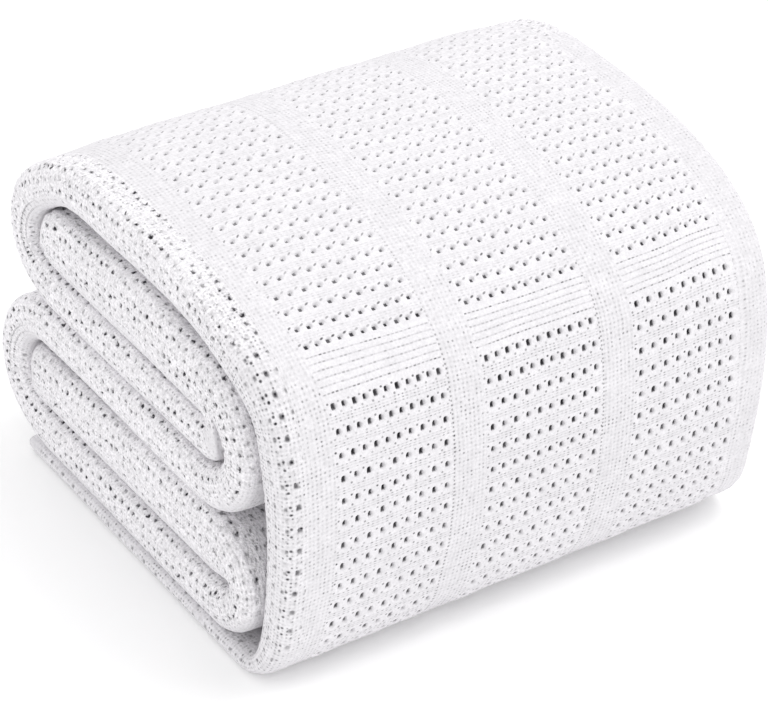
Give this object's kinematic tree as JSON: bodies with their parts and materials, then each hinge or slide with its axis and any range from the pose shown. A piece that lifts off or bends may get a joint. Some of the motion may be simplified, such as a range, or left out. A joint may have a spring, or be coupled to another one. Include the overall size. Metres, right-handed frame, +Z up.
{
  "type": "folded cellular blanket",
  "caption": "Thick cotton cellular blanket folded back and forth into a soft square bundle, its outer layer wrapping the front and the top.",
  "frame": {"origin": "centre of the bundle's footprint, on the surface it rests on", "axes": "+X along the strip's width, from the folded ends at the left to those at the right; -Y toward the smooth front; +Z up"},
  "size_m": [0.3, 0.2975, 0.2154],
  "materials": {
    "cotton": "matt white cotton, open cellular weave"
  },
  "bodies": {
    "root": {"blanket": "cotton"}
  },
  "joints": []
}
